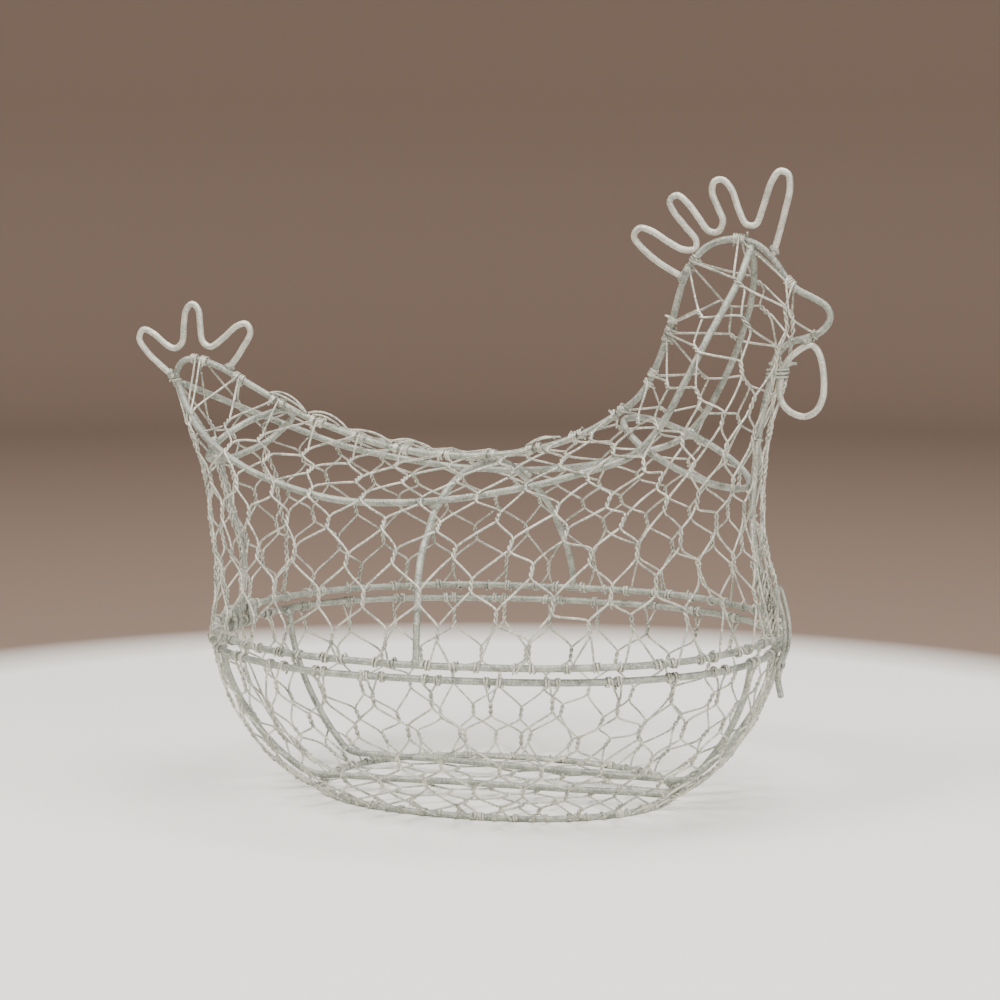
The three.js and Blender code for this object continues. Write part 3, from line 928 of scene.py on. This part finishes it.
def bowl_rim_hook(x, random):
    """Turns round the bowl's rim above a twist."""
    rim = ROUTES["bowl_rim"]
    share = x / BOWL_COLUMNS % 1
    tangent = rim.tangent(share)
    outward = across(rim.at(share) - BOWL_ORIGIN - UP * BOWL_RIM_Z, tangent)
    drift = HOOK_PITCH * random.choice([-1, 1])
    turns, lift = random.uniform(1.3, 2.2), random.uniform(0.2, 1.2)
    return turns_round(rim.at(share), tangent, outward, UP, turns, drift, lift)


def base_turn(point, from_inside, random):
    """A turn or two round the base ring, kept off the floor."""
    ring = ROUTES["base"]
    share = ring.nearest(point)
    tangent = ring.tangent(share)
    outward = across(ring.at(share) - BOWL_ORIGIN - UP * BASE_RING_Z, tangent)
    first, second = (-outward, UP) if from_inside else (outward, -UP)
    drift = HOOK_PITCH * random.choice([-1, 1])
    turn = turns_round(ring.at(share), tangent, first, second, random.uniform(1.2, 2.0), drift)
    turn[:, 2] = np.maximum(turn[:, 2], NET_R)
    return turn


def add_wall_net(wires, random):
    """Netting round the bowl's wall, from the rim down to the base ring."""
    spots = {}
    for row in range(WALL_ROWS):
        for k in range(BOWL_COLUMNS):
            x = k + BOWL_PHASE + row % 2 / 2
            jog = np.clip(random.normal(0, 1, 3), -2, 2)
            x_made, row_made = x + 0.07 * jog[0], row + 0.1 * jog[1]
            half = TWIST_HALF + 0.5 * jog[2]
            spots[row, k] = Spot(wall_place, x_made, row_made, 0.15, 0, half)
    for going in (1, -1):
        for k in range(BOWL_COLUMNS):
            hook = bowl_rim_hook(k + BOWL_PHASE - random.uniform(0.07, 0.16) * going, random)
            parts = [hook[::-1]]
            for row in range(WALL_ROWS):
                column = (k + (going * row - row % 2) // 2) % BOWL_COLUMNS
                parts.append(spots[row, column].wire(going))
            foot = wall_place(k + BOWL_PHASE + going * (WALL_ROWS - 0.5) / 2, WALL_ROWS - 0.5)
            parts.append(base_turn(foot, False, random))
            wires.add(strand(parts, random), NET_R, NET_SIDES)
    down = np.linspace(0, 1, 14)
    for middle_x, offsets in WALL_EDGES:
        for offset in offsets:
            columns = middle_x + offset * (1 - 0.3 * down) + waves(down, 0.05, random)[:, 0]
            rows = EDGE_TOP + (EDGE_BOTTOM - EDGE_TOP) * down
            path = [wall_place(x, row) for x, row in zip(columns, rows)]
            wires.add(spline(path, per=4), NET_R, NET_SIDES)


def add_floor_net(wires, random):
    """A flat piece of netting over the bowl's floor, wound round the base ring."""

    def place(x, row):
        return np.array([x * FLOOR_CELL, row * FLOOR_ROW, FLOOR_Z]) + BOWL_ORIGIN

    def outness(x, row):
        across_x, across_y = abs(x * FLOOR_CELL / BASE_RING[0]), abs(row * FLOOR_ROW / BASE_RING[1])
        return (across_x**OVAL_POWER + across_y**OVAL_POWER) ** (1 / OVAL_POWER)

    spots = {}
    for row in range(-FLOOR_SPAN, FLOOR_SPAN + 1):
        for k in range(-FLOOR_SPAN, FLOOR_SPAN + 1):
            x = k + 0.5 if row % 2 == 0 else k
            jog = np.clip(random.normal(0, 1, 2), -2, 2)
            if outness(x, row) < FLOOR_REACH:
                x_made, row_made = x + 0.06 * jog[0], row + 0.08 * jog[1]
                spots[row, x] = Spot(place, x_made, row_made, 0.15, 0, TWIST_HALF)
    for (row, x), going in [(spot, going) for spot in spots for going in (1, -1)]:
        if (row - 1, x - 0.5 * going) in spots:
            continue
        start = place(x - 0.5 * going, row - 1)
        parts = [base_turn(start, True, random)[::-1]]
        while (row, x) in spots:
            parts.append(spots[row, x].wire(going))
            row, x = row + 1, x + 0.5 * going
        parts.append(base_turn(place(x, row), True, random))
        wires.add(strand(parts, random), NET_R, NET_SIDES)


def make_bowl_netting():
    random = np.random.default_rng(71)
    wires = Wires()
    add_wall_net(wires, random)
    add_floor_net(wires, random)
    wires.piece("bowl_netting_wires", "bowl", "netting_wire", NET_METAL, "bowl_netting")


# ---- Ties, binding and clip ----


def make_hinge_ties():
    """Turns of wire round both rims at the tail, each with a twisted end."""
    reach = FRAME_R + TIE_R + 0.5
    centre_x = BOWL_ORIGIN[0] - (LID_RIM[0] + BOWL_RIM[0]) / 2 + 0.4
    half_gap = (LID_ORIGIN[2] - BOWL_RIM_Z) / 2
    middle_z = BOWL_RIM_Z + half_gap
    for i, offset in enumerate(HINGE_TIES):
        random = np.random.default_rng(80 + i)
        a = np.linspace(0, 2 * math.pi * HINGE_TIE_TURNS, 64)
        drift = HINGE_TIE_PITCH * (a - a[-1] / 2) / (2 * math.pi)
        rise = np.clip(np.sin(a) * 4, -1, 1)
        path = np.stack([
            centre_x + reach * np.cos(a),
            offset + drift,
            middle_z + rise * half_gap + reach * np.sin(a),
        ], -1)
        path[-5:, 0] += np.linspace(0, 1, 5) ** 2 * random.uniform(2, 4)
        wires = Wires()
        wires.add(path, TIE_R, TIE_SIDES)
        name = "hinge_tie_" + str(i + 1)
        wires.piece(name + "_wire", "bowl", "tie_wire", TIE_METAL, name)


def make_wattle_binding():
    """Turns that bind the wattle to the throat, and the wire's free end."""
    reach = TRIM_R + TIE_R + 0.45
    a = np.linspace(0, 2 * math.pi * BINDING_TURNS, 50)
    height = a / (2 * math.pi) * BINDING_PITCH
    wattle = WATTLE_X + WATTLE_LEAN * height
    throat = THROAT_X + THROAT_LEAN * height
    centre = np.where(np.cos(a) > 0, wattle, throat)
    path = np.stack([centre + reach * np.cos(a), reach * np.sin(a), BINDING_Z + height], -1)
    path[1:-1] = (path[:-2] + 2 * path[1:-1] + path[2:]) / 4
    wires = Wires()
    wires.add(spline(list(path[::3]) + BINDING_END, per=4) + LID_ORIGIN, TIE_R, TIE_SIDES)
    wires.piece("wattle_binding_wire", "lid", "tie_wire", TIE_METAL, "wattle_binding")


def make_clip():
    """The clip that hangs on the breast and snaps past the bowl's rim."""
    loop = [(x, CLIP_HALF_WIDTH, z) for x, z in CLIP_PROFILE]
    loop += [(x, -CLIP_HALF_WIDTH, z) for x, z in CLIP_PROFILE[::-1]]
    wires = Wires()
    wires.add(Route(loop, True, LID_ORIGIN).every(CLIP_STEP), CLIP_R, CLIP_SIDES, closed=True)
    wires.add(Route(in_middle(CLIP_TAB), origin=LID_ORIGIN).every(CLIP_STEP), TRIM_R, FRAME_SIDES)
    foot = np.array([CLIP_FOOT[0], -CLIP_FOOT_HALF, CLIP_FOOT[1]]) + LID_ORIGIN
    binding = turns_round(
        foot, LEFT, UP, FORWARD, CLIP_FOOT_TURNS, CLIP_FOOT_PITCH, radius=CLIP_R, wire=TIE_R
    )
    wires.add(binding, TIE_R, TIE_SIDES)
    wires.piece("latch_clip_wire", "latch", "tie_wire", TIE_METAL, "latch_clip")


# ---- Stage ----

# Radii and heights in metres
PALE_FLOOR = (0.93, 0.915, 0.875)
# The floor is pale out to this radius, a painted pool of light round the basket, and fades to the dark
# backdrop tone by the next radius
PAINTED_LIGHT_POOL_RADIUS = 0.43
BACKDROP = (0.188, 0.132, 0.1)
PAINTED_POOL_FADE_END = 0.52
FLAT_RADII = (0.3, 0.8, 2.0)
BEND_RADIUS = 0.4
WALL_TOP = 3.2
STAGE_SIDES = 96


def make_stage():
    """A floor with a painted pool of light round the basket that fades to a dark backdrop tone, and
    bends up far away into a plain backdrop all round.
    """
    rings = [(radius, 0.0) for radius in FLAT_RADII]
    for i in range(1, 9):
        a = math.pi / 2 * i / 8
        rings.append((FLAT_RADII[-1] + BEND_RADIUS * math.sin(a), BEND_RADIUS * (1 - math.cos(a))))
    rings.append((FLAT_RADII[-1] + BEND_RADIUS, WALL_TOP))
    points = []
    for radius, z in rings:
        for k in range(STAGE_SIDES):
            a = 2 * math.pi * k / STAGE_SIDES
            points.append((radius * math.cos(a), radius * math.sin(a), z))
    faces = [list(range(STAGE_SIDES))]
    for i in range(len(rings) - 1):
        low, high = i * STAGE_SIDES, (i + 1) * STAGE_SIDES
        for k in range(STAGE_SIDES):
            following = (k + 1) % STAGE_SIDES
            faces.append((low + k, high + k, high + following, low + following))
    mesh = bpy.data.meshes.new("floor")
    mesh.from_pydata(points, [], faces)
    mesh.shade_smooth()

    material = bpy.data.materials.new("studio_floor_painted_light_pool")
    material.use_nodes = True
    tree = material.node_tree
    shader = tree.nodes["Principled BSDF"]
    shader.inputs["Roughness"].default_value = 0.8
    place = node(tree, "ShaderNodeTexCoord").outputs["Object"]
    distance = tree.nodes.new("ShaderNodeVectorMath")
    distance.operation = "LENGTH"
    tree.links.new(place, distance.inputs[0])
    # Painted pool of light: the colour is pale near the middle and fades with distance to the dark
    # backdrop tone
    stops = [(PAINTED_LIGHT_POOL_RADIUS, PALE_FLOOR), (PAINTED_POOL_FADE_END, BACKDROP)]
    colour = ramp(tree, distance.outputs["Value"], stops)
    tree.links.new(colour, shader.inputs["Base Color"])
    mesh.materials.append(material)
    floor = bpy.data.objects.new("floor", mesh)
    bpy.context.scene.collection.objects.link(floor)


def area_light(name, place, target, size, power, colour):
    light = bpy.data.lights.new(name, "AREA")
    light.shape = "DISK"
    light.size = size
    light.energy = power
    light.color = colour
    lamp = bpy.data.objects.new(name, light)
    bpy.context.scene.collection.objects.link(lamp)
    lamp.location = place
    lamp.rotation_euler = (Vector(target) - Vector(place)).to_track_quat("-Z", "Y").to_euler()


# The camera stands to the hen's right and ahead of its middle
CAMERA_YAW = 18.6
CAMERA_ELEVATION = 6.85
CAMERA_DISTANCE = 1.39
CAMERA_AIM = Vector((0.0161, 0, 0.1491))
CAMERA_LENS = 98.64
CAMERA_SENSOR = 36


def make_camera():
    yaw, rise = math.radians(CAMERA_YAW), math.radians(CAMERA_ELEVATION)
    back = Vector((math.sin(yaw) * math.cos(rise), -math.cos(yaw) * math.cos(rise), math.sin(rise)))
    data = bpy.data.cameras.new("camera")
    data.lens = CAMERA_LENS
    data.sensor_width = CAMERA_SENSOR
    camera = bpy.data.objects.new("camera", data)
    bpy.context.scene.collection.objects.link(camera)
    camera.location = CAMERA_AIM + back * CAMERA_DISTANCE
    camera.rotation_euler = (-back).to_track_quat("-Z", "Y").to_euler()
    bpy.context.scene.camera = camera


# Each light's name, place, target, size, power and colour
LIGHTS = (
    ("key", (-0.9, -1.2, 1.9), (0, 0, 0.12), 1.1, 60, (1, 0.97, 0.92)),
    ("top", (0.3, 0.3, 2.1), (0, 0, 0.1), 1.4, 44, (1, 0.985, 0.96)),
    ("fill", (1.6, -1.0, 0.9), (0, 0, 0.15), 1.2, 34, (1, 0.985, 0.96)),
)
SKY = (0.93, 0.95, 1)
SKY_STRENGTH = 0.5


def make_lights():
    world = bpy.data.worlds.new("studio")
    world.use_nodes = True
    background = world.node_tree.nodes["Background"]
    background.inputs["Color"].default_value = (*SKY, 1)
    background.inputs["Strength"].default_value = SKY_STRENGTH
    bpy.context.scene.world = world
    for light in LIGHTS:
        area_light(*light)


make_camera()
make_stage()
make_lights()
make_frame()
make_base_ring()
make_welds()
make_lid_netting()
make_bowl_netting()
make_hinge_ties()
make_wattle_binding()
make_clip()
